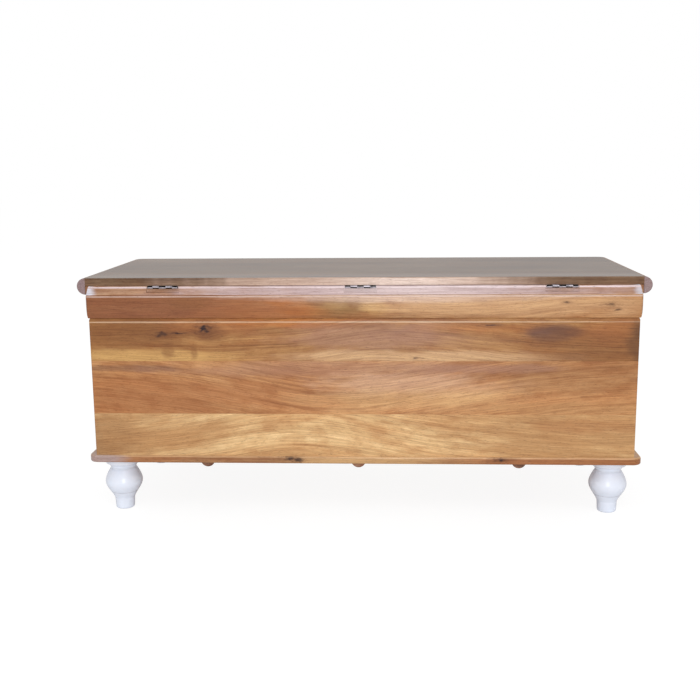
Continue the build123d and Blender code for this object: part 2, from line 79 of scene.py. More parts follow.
# %% A strand of shader arithmetic
class Strand:
    """One number, colour or place in a material, as the socket that it comes out of."""

    def __init__(self, tree, socket):
        self.tree = tree
        self.socket = socket

    def node(self, kind, inputs, output=0, **settings):
        """Adds any node: its settings first, then the values or links of its sockets."""
        made = self.tree.nodes.new("ShaderNode" + kind)
        for setting, value in settings.items():
            setattr(made, setting, value)
        for socket, value in inputs.items():
            if isinstance(value, Strand):
                self.tree.links.new(value.socket, made.inputs[socket])
            else:
                made.inputs[socket].default_value = value
        return Strand(self.tree, made.outputs[output])

    def maths(self, operation, first, second=0.0):
        return self.node("Math", {0: first, 1: second}, operation=operation)

    def __add__(self, other):
        return self.maths("ADD", self, other)

    def __radd__(self, other):
        return self.maths("ADD", other, self)

    def __sub__(self, other):
        return self.maths("SUBTRACT", self, other)

    def __rsub__(self, other):
        return self.maths("SUBTRACT", other, self)

    def __mul__(self, other):
        return self.maths("MULTIPLY", self, other)

    def __rmul__(self, other):
        return self.maths("MULTIPLY", other, self)

    def __truediv__(self, other):
        return self.maths("DIVIDE", self, other)

    def __rtruediv__(self, other):
        return self.maths("DIVIDE", other, self)

    def __pow__(self, other):
        return self.maths("POWER", self, other)

    def through(self, operation):
        """This number put through an operation that takes only one, such as SINE."""
        return self.maths(operation, self)

    def axis(self, letter):
        """One coordinate of this place."""
        return self.node("SeparateXYZ", {0: self}, output="XYZ".index(letter))

    def fade(self, start, end):
        """Runs smoothly from 0 to 1 as the number goes from start to end."""
        levels = {"Value": self, "From Min": start, "From Max": end}
        return self.node("MapRange", levels, interpolation_type="SMOOTHSTEP")

    def between(self, first, second):
        """The first colour where this number is 0, and the second one where it is 1."""
        return self.node("Mix", {0: self, 6: first, 7: second}, output=2, data_type="RGBA")

    def blend(self, other, share):
        """This colour with a share of the other one mixed in."""
        return share.between(self, other)

    def shaded(self, other, share):
        """This colour multiplied by the other one, by a share."""
        colours = {0: share, 6: self, 7: other}
        return self.node("Mix", colours, output=2, data_type="RGBA", blend_type="MULTIPLY")

    def into(self, shader, name):
        """Feeds this into one of the main shader's sockets."""
        self.tree.links.new(self.socket, shader.inputs[name])


print("shader arithmetic ready")

# %% [markdown]
# ## Tones, finishes and who wears them
#
# A tone is written as on a paint chart, from 0 to 255, because that is how a colour is judged by eye.
# A shader works in linear light, so each tone is converted once, here. A finish is one material, and
# it replaces the plain one that a piece of the construction came with. The piece itself isn't touched.

# %% Make and give out finishes
def tone(red, green, blue):
    """A colour as a paint chart gives it, from 0 to 255, turned into the linear values of a shader."""
    def linear(level):
        level /= 255
        return level / 12.92 if level <= 0.04045 else ((level + 0.055) / 1.055) ** 2.4
    return (linear(red), linear(green), linear(blue), 1.0)


def new_finish(name):
    """A new material: the strand with the place on the piece, and the main shader."""
    finish = bpy.data.materials.new(name)
    finish.use_nodes = True
    tree = finish.node_tree
    place = Strand(tree, None).node("TexCoord", {}, output="Object")
    return finish, place, tree.nodes["Principled BSDF"]


def wear(finish, *names):
    """Puts a finish on pieces of the construction, in place of the plain one they came with."""
    for name in names:
        piece = nodes[name]
        piece.data.materials.clear()
        piece.data.materials.append(finish)


def pieces(*starts):
    """The names of all pieces that start in one of these ways."""
    return [name for name in nodes if name.startswith(starts)]


print("middle grey is", round(tone(128, 128, 128)[0], 3), "in a shader")

# %% [markdown]
# ## What a plank carries
#
# Two things break the even figure of a plank. A knot is the root of a branch, dark and hard, which
# the rings flow round. A patch is a cloud of another tone: heartwood, sapwood, a mineral stain, or a
# rubbed edge. Both could be painted by hand on an unwrapped surface. Naming them by their place and
# size keeps them things that a joiner would recognise, and they can be moved by changing a number.

# %% Knots and patches
whole_length = 9.0


class Knot:
    """A knot: its place along and across the grain, its half sizes, and how dark it is."""

    def __init__(self, along, across, half_length, half_width, darkness):
        self.place = (along, across)
        self.reach = (half_length, half_width)
        self.darkness = darkness


class Patch:
    """A cloud of another tone: its place, its reach along and across the grain, and its strength."""

    def __init__(self, colour, along, across, reach_along, reach_across, strength):
        self.colour = colour
        self.place = (along, across)
        self.reach = (reach_along, reach_across)
        self.strength = strength


print("a reach of", whole_length, "metres covers the whole length of any piece")

# %% [markdown]
# ## Noise that runs with the grain
#
# Everything in wood is longer along the grain than across it. So the noise for it is laid out in
# cells that are stretched that way, and each kind of figure has its own number of cells to the metre.
# A photograph wrapped round the box would be quicker, but it would not carry on round the edges and
# ends as this does.

# %% A plank to work on
class Plank:
    """A wooden finish. In a grain of XZY it runs along X and across Z, and Y goes into the plank."""

    def __init__(self, name, grain, seed):
        self.finish, self.place, self.shader = new_finish(name)
        self.along, self.across, self.deep = (self.place.axis(letter) for letter in grain)
        self.seed = seed

    def cloud(self, cells, side, depth, detail=2.0, fraction=0.5):
        """Smooth noise, from about 0.25 to 0.75, with so many cells to the metre."""
        cell = {0: self.along * cells[0] + self.seed, 1: side * cells[1], 2: depth * cells[2]}
        vector = self.place.node("CombineXYZ", cell)
        levels = {"Vector": vector, "Scale": 1.0, "Detail": detail, "Roughness": fraction}
        return self.place.node("TexNoise", levels)

    def offset(self, spot, stretch=1.0):
        """How far a point is from a knot or patch, along and across, counted in its reaches."""
        along = (self.along - spot.place[0]) / (spot.reach[0] * stretch)
        across = (self.across - spot.place[1]) / (spot.reach[1] * stretch)
        return along, across


print("planks can carry noise")

# %% [markdown]
# ## How wood gets its figure
#
# A tree grows in rings, and a plank is a slice through them. On its face the rings show as long
# lines, bands and arches. So the figure is worked out as on the real thing: each point of the plank
# has a distance from the heart of the tree, and the colour will follow that distance. Three things
# bend the lines. The heart wanders, the log swells in a hump, which draws arches, and the rings part
# round a knot. Blender's Wave texture could draw lines too, but it knows neither arches nor knots.

# %% Find the rings
drift_cells = (1.6, 3.0, 2.0)
ripple_cells = (9.0, 26.0, 20.0)
ripple_size = 0.004
knot_pull = 0.75
knot_pull_reach = 2.6
heart_below = 0.11
heart_flatness = 0.8
heart_shift = 0.01


def find_rings(plank, hump, hump_place, hump_reach, wander, knots):
    """Gives the plank its height above the heart at each point, and the size of the ring there."""
    drift = plank.cloud(drift_cells, plank.across, plank.deep)
    ripple = plank.cloud(ripple_cells, plank.across, plank.deep, 1.0)
    swell = hump / (1.0 + ((plank.along - hump_place) / hump_reach) ** 2.0)
    height = plank.across - swell + (drift - 0.5) * wander * 2.0 + (ripple - 0.5) * ripple_size
    for knot in knots:
        along, across = plank.offset(knot, knot_pull_reach)
        near = ((along * along + across * across) * -1.0).through("EXPONENT")
        height = height - (plank.across - knot.place[1]) * knot_pull * near
    into_tree = plank.deep * heart_flatness + plank.seed * heart_shift
    plank.height = height
    plank.ring = ((height + heart_below) ** 2.0 + into_tree ** 2.0) ** 0.5


print("the heart lies", heart_below, "metres below the origin")

# %% [markdown]
# ## Rings, fibres and pores
#
# The rings show three times over: as broad bands, as lines, and as fine lines between them. Between
# the rings the wood has warmer streaks and short blotches. On top of the rings lie the fibres, which
# are much finer, and the pores, which show as short dark dashes. One noise texture could stand for
# all of it, but then every line would be equally wide, which is how plastic wood looks.

# %% Colour the rings
band_cells = (0.7, 34.0, 1.0)
line_cells = (1.8, 190.0, 1.0)
fine_line_cells = (4.0, 560.0, 1.0)
warmth_cells = (5.0, 22.0, 22.0)
blotch_cells = (26.0, 64.0, 40.0)
fibre_cells = (16.0, 760.0, 760.0)
pore_cells = (120.0, 1500.0, 1500.0)
band_layer, line_layer, fine_line_layer = 0.0, 0.3, 0.9
warm_cast = tone(232, 206, 184)
blotch_cast = tone(214, 190, 168)
late_wood_cast = tone(160, 128, 104)


def colour_rings(plank, pale, dark):
    """Gives the plank its lines, fibres and pores, and a first colour."""
    ring, height, deep = plank.ring, plank.height, plank.deep
    bands = plank.cloud(band_cells, ring, band_layer, 3.0, 0.55).fade(0.34, 0.66)
    lines = plank.cloud(line_cells, ring, line_layer, 3.0, 0.6).fade(0.3, 0.7)
    fine_lines = plank.cloud(fine_line_cells, ring, fine_line_layer).fade(0.32, 0.68)
    warmth = plank.cloud(warmth_cells, height, deep, 3.0).fade(0.4, 0.62)
    blotches = plank.cloud(blotch_cells, height, deep, 3.0, 0.6).fade(0.4, 0.66)
    plank.lines = lines
    plank.fibres = plank.cloud(fibre_cells, height, deep)
    plank.pores = plank.cloud(pore_cells, height, deep, 1.0).fade(0.63, 0.7)

    share = bands * 0.4 + lines * 0.35 + fine_lines * 0.25
    colour = share.between(dark, pale)
    colour = colour.shaded(warm_cast, warmth * 0.5)
    colour = colour.shaded(blotch_cast, blotches * 0.5)
    plank.colour = colour.shaded(late_wood_cast, (1.0 - lines) * (1.0 - bands) * 0.4)


print("rings:", line_cells[1], "cells of lines to the metre of radius")

# %% [markdown]
# ## Laying in the patches and knots
#
# A patch has a ragged edge, because a stain creeps along the fibres, and the dark lines take a little
# less of it. A knot has a nearly black heart in a brown ring that swirls. Its outline is bent by noise
# until it is no longer an ellipse. Both are mixed over the rings one by one, as a polisher would tint
# a plank, so the order in which they are named is the order in which they lie.

# %% Tint a plank
ragged_cells = (11.0, 44.0, 1.0)
ragged_layer = 0.7
ragged_size = 1.5
bend_cells = (70.0, 150.0, 1.0)
bend_layers = (1.3, 7.9)
bend_size = 3.0
swirl_turns = 7.0
knot_heart = tone(44, 20, 20)
knot_ring = tone(112, 66, 38)


def lay_patches(plank, patches):
    """Mixes each patch over the plank's colour."""
    ragged = plank.cloud(ragged_cells, plank.height, ragged_layer, 3.0, 0.6)
    for patch in patches:
        along, across = plank.offset(patch)
        away = (along * along + across * across) ** 0.5 + (ragged - 0.5) * ragged_size
        mask = away.fade(1.35, 0.45) * patch.strength * (plank.lines * 0.25 + 0.75)
        plank.colour = plank.colour.blend(patch.colour, mask)


def lay_knots(plank, knots):
    """Mixes each knot's ring and heart over the plank's colour."""
    bends = [plank.cloud(bend_cells, plank.across, layer) for layer in bend_layers]
    for knot in knots:
        along, across = (
            side + (bend - 0.5) * bend_size for side, bend in zip(plank.offset(knot), bends)
        )
        away = (along * along + across * across) ** 0.5
        swirl = (away * swirl_turns).through("SINE") * 0.25 + 0.75
        halo = away.fade(3.4, 0.7) * knot.darkness * 0.6 * swirl
        plank.colour = plank.colour.blend(knot_ring, halo)
        plank.colour = plank.colour.blend(knot_heart, away.fade(1.25, 0.35) * knot.darkness)


print("knots are bent by", len(bend_layers), "layers of noise")

# %% [markdown]
# ## Lacquer over the grain
#
# Lacquer fills most of the grain, so only a little of it stands in the surface: the relief is a bump
# of a fifth of a millimetre, too fine to be worth real geometry. The gleam is a clear coat over the
# wood, as on the real thing, and not a shinier wood. So the wood below can be dull where the coat is
# thick, and one function makes every wooden finish of the box.

# %% A finish of lacquered wood
fibre_cast = tone(176, 154, 134)
pore_cast = tone(110, 78, 58)
relief_strength = 0.35
relief_depth = 0.0002
coat_roughness = 0.2
edge_coat_start, edge_coat_end = 0.13, 0.2


def lacquered_wood(
    name,
    pale,
    dark,
    seed,
    grain="XZY",
    hump=0.0,
    hump_place=0.0,
    hump_reach=0.3,
    wander=0.02,
    knots=(),
    patches=(),
    roughness=0.36,
    gloss=0.22,
    lacquer=0.25,
    edge_lacquer=0.0,
):
    """Wood with its figure, its patches and knots, and a coat of lacquer, heavier at one edge if asked."""
    plank = Plank(name, grain, seed)
    find_rings(plank, hump, hump_place, hump_reach, wander, knots)
    colour_rings(plank, pale, dark)
    if patches:
        lay_patches(plank, patches)
    if knots:
        lay_knots(plank, knots)
    lines, fibres, pores = plank.lines, plank.fibres, plank.pores
    colour = plank.colour.shaded(fibre_cast, (fibres - 0.5) * 1.5 + 0.2)
    colour.shaded(pore_cast, pores * 0.45).into(plank.shader, "Base Color")

    relief = (fibres - 0.5) * 0.5 + (lines - 0.5) * 0.3 - pores * 0.8
    levels = {"Height": relief, "Strength": relief_strength, "Distance": relief_depth}
    plank.place.node("Bump", levels).into(plank.shader, "Normal")
    (roughness + (fibres - 0.5) * 0.16 + pores * 0.1).into(plank.shader, "Roughness")
    if edge_lacquer:
        coat = plank.across.fade(edge_coat_start, edge_coat_end) * edge_lacquer + lacquer
        coat.into(plank.shader, "Coat Weight")
    else:
        plank.shader.inputs["Coat Weight"].default_value = lacquer
    plank.shader.inputs["Coat Roughness"].default_value = coat_roughness
    plank.shader.inputs["Specular IOR Level"].default_value = gloss
    return plank.finish


print("lacquered wood ready")

# %% [markdown]
# ## The back wall, plank by plank
#
# Three planks are glued edge to edge, and each comes from another part of a tree, which is why their
# tones don't match. The top one has pale sapwood along its lower left edge, five knots, three of them
# close together on the left, and a dark stain that deepens towards the right end. The middle one is
# redder on the left, and its lines sag. The bottom one is the palest, cut near the outside of the
# log, so it shows broad arches.
#
# The three could share one finish, but then one figure would run across both joints, and the eye
# would see a single sheet. The tones come first, because most planks share them.

# %% Tones of the timber
sapwood = tone(212, 168, 104)
honey = tone(190, 142, 92)
straw = tone(224, 182, 128)
mauve = tone(170, 126, 104)
red_brown = tone(170, 104, 58)
earth_brown = tone(136, 86, 46)
orange = tone(186, 110, 44)
stain = tone(92, 62, 58)
char = tone(62, 42, 34)
# The last tone is a painted highlight for an upper edge, not a tone of the wood.
upper_edge_highlight = tone(224, 190, 158)
print("timber: 10 tones")

# %% [markdown]
# ## The top plank
#
# This one carries the most: the knots, the long pale edge and the stain. Each is put where it lies on the
# wall, roughly from left to right as seen from behind, and a later patch lies over an earlier one. A
# painted highlight runs along the upper edge, as one very thin patch over the whole length.

# %% Finish the top plank
back_upper = lacquered_wood(
    "back_upper_plank",
    pale=tone(196, 147, 90),
    dark=tone(158, 105, 56),
    seed=3.1,
    hump=0.035,
    hump_place=-0.05,
    hump_reach=0.2,
    knots=(
        Knot(0.424, 0.401, 0.015, 0.007, 0.7),
        Knot(0.386, 0.403, 0.016, 0.0022, 0.8),
        Knot(0.331, 0.412, 0.012, 0.009, 1.0),
        Knot(-0.271, 0.419, 0.012, 0.002, 0.8),
        Knot(-0.117, 0.350, 0.007, 0.002, 0.6),
    ),
    patches=(
        Patch(earth_brown, 0.50, 0.405, 0.18, 0.032, 0.9),
        Patch(sapwood, 0.45, 0.354, 0.22, 0.015, 0.8),
        Patch(red_brown, 0.30, 0.420, 0.12, 0.020, 0.6),
        Patch(earth_brown, 0.318, 0.400, 0.034, 0.020, 0.9),
        Patch(earth_brown, 0.410, 0.366, 0.014, 0.016, 0.6),
        Patch(earth_brown, 0.354, 0.364, 0.009, 0.016, 0.6),
        Patch(orange, 0.12, 0.424, 0.16, 0.011, 0.75),
        Patch(mauve, -0.02, 0.395, 0.20, 0.028, 0.6),
        Patch(tone(224, 184, 138), -0.12, 0.353, 0.32, 0.014, 0.75),
        Patch(earth_brown, -0.01, 0.420, 0.06, 0.009, 0.5),
        Patch(honey, -0.24, 0.385, 0.08, 0.016, 0.5),
        # A painted highlight: a thin pale line along the whole upper edge.
        Patch(upper_edge_highlight, 0.0, 0.4265, whole_length, 0.0016, 0.8),
        Patch(orange, -0.28, 0.412, 0.14, 0.012, 0.35),
        Patch(stain, -0.40, 0.404, 0.070, 0.016, 0.85),
        Patch(red_brown, -0.52, 0.405, 0.07, 0.030, 0.7),
        Patch(earth_brown, -0.50, 0.356, 0.12, 0.010, 0.6),
        Patch(char, -0.580, 0.385, 0.030, 0.042, 0.85),
        Patch(earth_brown, -0.50, 0.375, 0.16, 0.040, 0.6),
    ),
)
wear(back_upper, "back_plank_upper")
print("top plank finished")

# %% [markdown]
# ## The middle and bottom planks
#
# These two have no knots. A hump of negative height makes the lines sag, and a positive one makes
# them rise in arches, so the two planks differ by more than their tones.

# %% Finish the middle and bottom planks
back_middle = lacquered_wood(
    "back_middle_plank",
    pale=tone(218, 166, 112),
    dark=tone(190, 134, 84),
    seed=7.7,
    hump=-0.10,
    hump_place=0.045,
    hump_reach=0.34,
    wander=0.012,
    patches=(
        Patch(red_brown, 0.42, 0.268, 0.30, 0.040, 0.6),
        Patch(stain, 0.50, 0.327, 0.14, 0.007, 0.45),
        Patch(mauve, 0.05, 0.326, 0.38, 0.018, 0.5),
        Patch(tone(222, 180, 146), -0.10, 0.292, 0.20, 0.026, 0.7),
        Patch(straw, -0.12, 0.262, 0.24, 0.026, 0.45),
        Patch(earth_brown, -0.46, 0.305, 0.20, 0.036, 0.45),
        Patch(mauve, -0.24, 0.328, 0.18, 0.010, 0.5),
        Patch(honey, -0.42, 0.242, 0.20, 0.014, 0.5),
    ),
)
back_lower = lacquered_wood(
    "back_lower_plank",
    pale=tone(255, 222, 168),
    dark=tone(230, 186, 128),
    seed=12.4,
    hump=0.075,
    hump_place=0.13,
    hump_reach=0.26,
    wander=0.014,
    patches=(
        Patch(earth_brown, 0.57, 0.180, 0.10, 0.060, 0.75),
        Patch(honey, 0.45, 0.185, 0.17, 0.055, 0.75),
        Patch(honey, 0.15, 0.140, 0.10, 0.010, 0.5),
        Patch(honey, -0.44, 0.180, 0.26, 0.070, 0.9),
        Patch(red_brown, -0.52, 0.205, 0.16, 0.016, 0.35),
    ),
)
wear(back_middle, "back_plank_middle")
wear(back_lower, "back_plank_lower")
print("back wall: 3 planks")

# %% [markdown]
# ## The other walls
#
# The front and the two ends are boarded the same way. Nothing is known of their figure, so they are
# kept calm: the same timber, other seeds, and no knots or patches. A loop makes all nine, because
# only the tones of a row and the direction of the grain change. The end walls run along Y.

# %% Planks of the other walls
wall_rows = (
    ("upper", tone(190, 144, 100), tone(158, 110, 72), 0.05, 0.2),
    ("middle", tone(194, 146, 102), tone(166, 114, 76), -0.06, -0.15),
    ("lower", tone(216, 174, 124), tone(184, 138, 90), 0.04, 0.0),
)
first_wall_seed, wall_step, row_step = 20.0, 9.3, 3.7
for wall, (wall_name, grain) in enumerate((("front", "XZY"), ("left", "YZX"), ("right", "YZX"))):
    for row, (row_name, pale, dark, hump, front_hump_place) in enumerate(wall_rows):
        plank_finish = lacquered_wood(
            f"{wall_name}_{row_name}_plank",
            pale=pale,
            dark=dark,
            grain=grain,
            seed=first_wall_seed + wall_step * wall + row_step * row,
            hump=hump,
            hump_place=front_hump_place if wall_name == "front" else 0.0,
        )
        wear(plank_finish, f"{wall_name}_plank_{row_name}")
print("other walls: 9 planks")

# %% [markdown]
# ## Frieze
#
# Above the planks runs a frieze, a moulding that is mitred at the corners. At the back it starts dark and
# red at one end, turns mottled in the middle, where the grain doubles back, and ends in honey tones with
# three small knots. A pale highlight is painted along its upper edge, broad near the middle, and a thin
# line of shade along its lower edge in the middle. The mottling could be a finer noise over the whole
# length, but real mottle comes in spots, so each has its own patch.

# %% Finish the frieze
back_frieze = lacquered_wood(
    "back_frieze",
    pale=tone(204, 154, 102),
    dark=tone(168, 114, 70),
    seed=31.0,
    wander=0.03,
    knots=(
        Knot(-0.424, 0.468, 0.006, 0.002, 0.7),
        Knot(-0.516, 0.463, 0.010, 0.003, 0.6),
        Knot(-0.530, 0.452, 0.005, 0.002, 0.7),
    ),
    patches=(
        Patch(tone(140, 84, 54), 0.44, 0.460, 0.26, 0.060, 0.9),
        Patch(red_brown, 0.20, 0.455, 0.14, 0.040, 0.7),
        Patch(orange, 0.11, 0.452, 0.06, 0.014, 0.5),
        Patch(tone(146, 122, 72), 0.04, 0.458, 0.07, 0.022, 0.5),
        Patch(earth_brown, 0.36, 0.466, 0.05, 0.014, 0.5),
        Patch(orange, 0.17, 0.468, 0.03, 0.008, 0.55),
        Patch(earth_brown, 0.095, 0.468, 0.020, 0.010, 0.6),
        Patch(earth_brown, 0.015, 0.466, 0.014, 0.014, 0.6),
        Patch(sapwood, -0.03, 0.458, 0.03, 0.018, 0.6),
        # A thin line of painted shade along the lower edge in the middle, where the moulding turns under.
        Patch(earth_brown, 0.0, 0.437, 0.14, 0.005, 0.6),
        Patch(tone(222, 180, 134), -0.30, 0.464, 0.30, 0.030, 0.7),
        # The next two patches are a painted highlight along the upper edge: broad near the middle, thin
        # over the whole length.
        Patch(tone(206, 176, 160), -0.08, 0.479, 0.34, 0.010, 0.6),
        Patch(tone(224, 200, 190), 0.0, 0.4812, whole_length, 0.0018, 0.7),
    ),
)
wear(back_frieze, "frieze_back")
front_frieze = lacquered_wood("front_frieze", tone(188, 138, 92), tone(152, 102, 64), seed=36.0)
wear(front_frieze, "frieze_front")
end_frieze = lacquered_wood("end_frieze", tone(184, 134, 90), tone(152, 100, 64), grain="YZX", seed=41.0)
wear(end_frieze, "frieze_left", "frieze_right")
print("frieze: 4 mouldings")

# %% [markdown]
# ## Rim
#
# The rim closes the box below the lid. At the back it leans in, so it faces upwards a little and
# gleams pale and cool along its length and at its ends. The lamps make part of that gleam, and pale
# patches the rest, because lamps that were bright enough would wash out the planks below. The front
# and the ends stand upright and don't gleam, so they keep the plain tones of the wood.

# %% Finish the rim
rim_tones = (tone(190, 146, 112), tone(160, 114, 82))
rim_gleam = (
    Patch(tone(214, 196, 204), -0.06, 0.490, 0.42, 0.030, 0.75),
    Patch(tone(228, 230, 244), 0.583, 0.490, 0.022, 0.030, 1.0),
    Patch(tone(220, 218, 230), -0.583, 0.490, 0.018, 0.030, 0.9),
    Patch(tone(236, 218, 222), 0.0, 0.5, whole_length, 0.0019, 0.95),
)
back_rim = lacquered_wood(
    "back_rim", tone(204, 164, 132), tone(178, 134, 102), seed=46.0, patches=rim_gleam, lacquer=0.7
)
wear(back_rim, "rim_back")
front_rim = lacquered_wood("front_rim", *rim_tones, seed=56.0)
wear(front_rim, "rim_front")
end_rim = lacquered_wood("end_rim", *rim_tones, grain="YZX", seed=51.0)
wear(end_rim, "rim_left", "rim_right")
print("rim: 4 mouldings")

# %% [markdown]
# ## Lid
#
# Four boards make the lid, with their grain the long way. The lid is seen almost edge on, and at such an
# angle lacquer mirrors the room, so the top looks grey. That is left to the lacquer, the thickest on the
# box and thicker still towards the hinges, over wood of a dull tone. Paint of that grey would look right
# from here, but wrong from above. Along the last board's edge over the hinges a pale highlight is painted.

# %% Finish the lid
lid_boards = (
    (tone(142, 114, 88), tone(110, 86, 64), 0.04, 0.2),
    (tone(148, 118, 92), tone(116, 92, 68), -0.05, -0.1),
    (tone(138, 110, 84), tone(106, 82, 60), 0.06, 0.0),
    (tone(142, 112, 84), tone(112, 84, 58), 0.03, -0.25),
)
first_lid_seed, board_step = 60.0, 4.7
# A painted highlight along the last board's edge over the hinges, palest towards the middle.
hinge_edge_highlight = Patch(tone(236, 204, 186), 0.03, 0.2285, 0.32, 0.003, 0.7)
for board, (pale, dark, hump, hump_place) in enumerate(lid_boards):
    is_last = board == len(lid_boards) - 1
    lid_finish = lacquered_wood(
        f"lid_board_{board + 1}_wood",
        pale=pale,
        dark=dark,
        grain="XYZ",
        seed=first_lid_seed + board_step * board,
        hump=hump,
        hump_place=hump_place,
        patches=(hinge_edge_highlight,) if is_last else (),
        roughness=0.3,
        gloss=0.0,
        lacquer=0.86,
        edge_lacquer=0.14,
    )
    wear(lid_finish, f"lid_board_{board + 1}")
print("lid:", len(lid_boards), "boards")

# %% [markdown]
# ## Nosings
#
# Half-round nosings hide the ends of the lid's boards and its front edge. At the back the side ones show
# their end grain, and on it a grey sheen is painted as a reflection. One patch that is thin along the
# grain does that, so no separate finish is needed for the end faces.

# %% Finish the nosings
nosing_tones = (tone(172, 124, 84), tone(136, 90, 58))
# A painted reflection: a grey sheen on the end grain at the back.
end_grain_sheen = Patch(tone(160, 144, 150), 0.2285, 0.5025, 0.006, whole_length, 0.85)
long_nosing = lacquered_wood("long_nosing", *nosing_tones, seed=81.0)
wear(long_nosing, "nosing_front")
end_nosing = lacquered_wood("end_nosing", *nosing_tones, grain="YZX", seed=84.0, patches=(end_grain_sheen,))
wear(end_nosing, "nosing_left", "nosing_right")
print("lid: 3 nosings")

# %% [markdown]
# ## Bottom board, bearers and inner pieces
#
# The edge of the bottom board is red-brown towards its ends, greyish at the left one, and carries
# three knots. The bearers below it are a plain mid brown. Corner posts and battens are inside, so
# they are planed but hardly finished: rougher, with little or no lacquer. They could share the
# bearers' finish, but raw wood next to lacquered wood is how the inside of a box looks.

# %% Finish the bottom board, bearers, posts and battens
base_finish = lacquered_wood(
    "bottom_board",
    pale=tone(206, 160, 114),
    dark=tone(160, 114, 76),
    seed=90.0,
    knots=(
        Knot(0.155, 0.130, 0.010, 0.005, 0.9),
        Knot(0.135, 0.127, 0.009, 0.004, 0.8),
        Knot(-0.296, 0.129, 0.014, 0.004, 0.9),
    ),
    patches=(
        Patch(red_brown, 0.50, 0.127, 0.12, 0.020, 0.6),
        Patch(straw, -0.02, 0.127, 0.20, 0.020, 0.8),
        Patch(red_brown, -0.42, 0.127, 0.22, 0.020, 0.75),
        # A painted highlight: a thin pale line along the upper arris of the board's edge.
        Patch(tone(236, 194, 146), 0.0, 0.1352, whole_length, 0.0034, 0.75),
        Patch(tone(184, 168, 170), 0.560, 0.127, 0.050, 0.020, 0.85),
    ),
)
wear(base_finish, "base_board")
bearer_finish = lacquered_wood(
    "bearer",
    pale=tone(184, 142, 116),
    dark=tone(132, 96, 76),
    grain="YXZ",
    seed=95.0,
    roughness=0.45,
    lacquer=0.2,
)
wear(bearer_finish, "bearer_left", "bearer_middle", "bearer_right")
post_finish = lacquered_wood(
    "corner_post",
    pale=tone(196, 152, 108),
    dark=tone(162, 118, 80),
    grain="ZXY",
    seed=99.0,
    roughness=0.6,
    lacquer=0.0,
)
wear(post_finish, *pieces("corner_post"))
batten_finish = lacquered_wood(
    "lid_batten",
    pale=tone(192, 148, 104),
    dark=tone(158, 114, 76),
    grain="YXZ",
    seed=104.0,
    roughness=0.55,
    lacquer=0.1,
)
wear(batten_finish, *pieces("lid_batten"))
print("bottom board, bearers,", len(pieces("corner_post")), "posts,", len(pieces("lid_batten")), "battens")

# %% [markdown]
# ## Painted feet
#
# The feet are turned on a lathe and painted in white gloss. Paint isn't flat: it varies a little in tone
# and gloss, keeps faint marks of the lathe under it, and is made darker in the neck, in the turned ring
# and round the sole. That darkening could be found by measuring how hollow the surface is, but on turned
# work these places lie at known heights, so three levels do it.

# %% Finish the feet
neck_level, ring_level = 0.094, 0.040
lathe_stretch = 900.0
mottle_per_metre = 60.0
darkened_tone = tone(146, 140, 136)

paint_finish, place, shader = new_finish("white_gloss_paint")
level = place.axis("Z")
turned = place.node("CombineXYZ", {2: level * lathe_stretch})
lathe_marks = place.node("TexNoise", {"Vector": turned, "Detail": 2.0})
mottle = place.node("TexNoise", {"Vector": place, "Scale": mottle_per_metre, "Detail": 3.0})
neck = (level - neck_level).through("ABSOLUTE").fade(0.005, 0.0005)
ring = (level - ring_level).through("ABSOLUTE").fade(0.0016, 0.0004)
sole = level.fade(0.004, 0.0)
# Darker in the neck, in the ring and round the sole.
darkening = neck * 0.12 + ring * 0.3 + sole * 0.15
mottle.between(tone(232, 240, 255), tone(240, 244, 255)).blend(darkened_tone, darkening).into(shader, "Base Color")
(mottle * 0.1 + 0.2).into(shader, "Roughness")
brushed = {"Height": lathe_marks * 0.4 + mottle * 0.6, "Strength": 0.25, "Distance": 0.0004}
place.node("Bump", brushed).into(shader, "Normal")
wear(paint_finish, *pieces("foot_back", "foot_front"))
print("feet:", len(pieces("foot_back", "foot_front")), "painted")

# %% [markdown]
# ## Hinges and screws
#
# The hinges are bent from sheet steel and plated with nickel. Fine scratches run along the barrel, the way
# the sheet was rolled. Each knuckle is open on one side, and the gap there is painted black as shade. The
# gaps are cut in the solids, but light gets in from both ends, so their shade is also painted into the
# colour. The pins are unplated wire coloured near black, so that they read as part of that shade, and
# their finish isn't metallic.

# %% A worn plating
pin_y = 0.23145
pin_z = 0.50085
scratch_cells = (120.0, 2600.0, 2600.0)
tarnish_per_metre = 160.0
painted_gap_shade = tone(16, 13, 13)
plating_gloss = 0.1


def plated_metal(name, bright, dull, roughness, metallic=1.0, open_side=0.0):
    """A worn metal plating, with scratches along X and cloudy tarnish.

    The open side of a knuckle, which is 1 above the pin and -1 below it, is painted black as shade.
    """
    finish, place, shader = new_finish(name)
    stretched = place.node("Mapping", {"Vector": place, "Scale": scratch_cells})
    scratches = place.node("TexNoise", {"Vector": stretched, "Scale": 1.0, "Detail": 3.0})
    clouds = place.node("TexNoise", {"Vector": place, "Scale": tarnish_per_metre, "Detail": 4.0})
    tarnish = clouds.fade(0.42, 0.68)
    colour = tarnish.between(bright, dull)
    dullness = scratches * 0.12 + tarnish * 0.12
    if open_side:
        behind = place.axis("Y") - pin_y
        above = (place.axis("Z") - pin_z) * open_side
        # The gap on the open side is painted black as shade, and made duller.
        gap_shade_mask = behind.fade(-0.0001, 0.0001) * above.fade(0.0001, 0.0004)
        colour = colour.blend(painted_gap_shade, gap_shade_mask)
        dullness = dullness + gap_shade_mask * 0.4
        ((1.0 - gap_shade_mask) * metallic).into(shader, "Metallic")
    else:
        shader.inputs["Metallic"].default_value = metallic
    colour.into(shader, "Base Color")
    (dullness + roughness).into(shader, "Roughness")
    scratched = {"Height": scratches, "Strength": 0.2, "Distance": 0.0001}
    place.node("Bump", scratched).into(shader, "Normal")
    shader.inputs["Specular IOR Level"].default_value = plating_gloss
    return finish


print("the pins lie", pin_z, "metres above the floor")

# %% [markdown]
# ## Giving out the metal
#
# The lid's leaves are open above the pin, and the box's leaves below it, so the same nickel is made
# twice. The screws and the bolts are zinc, which is yellower and shinier than worn nickel.

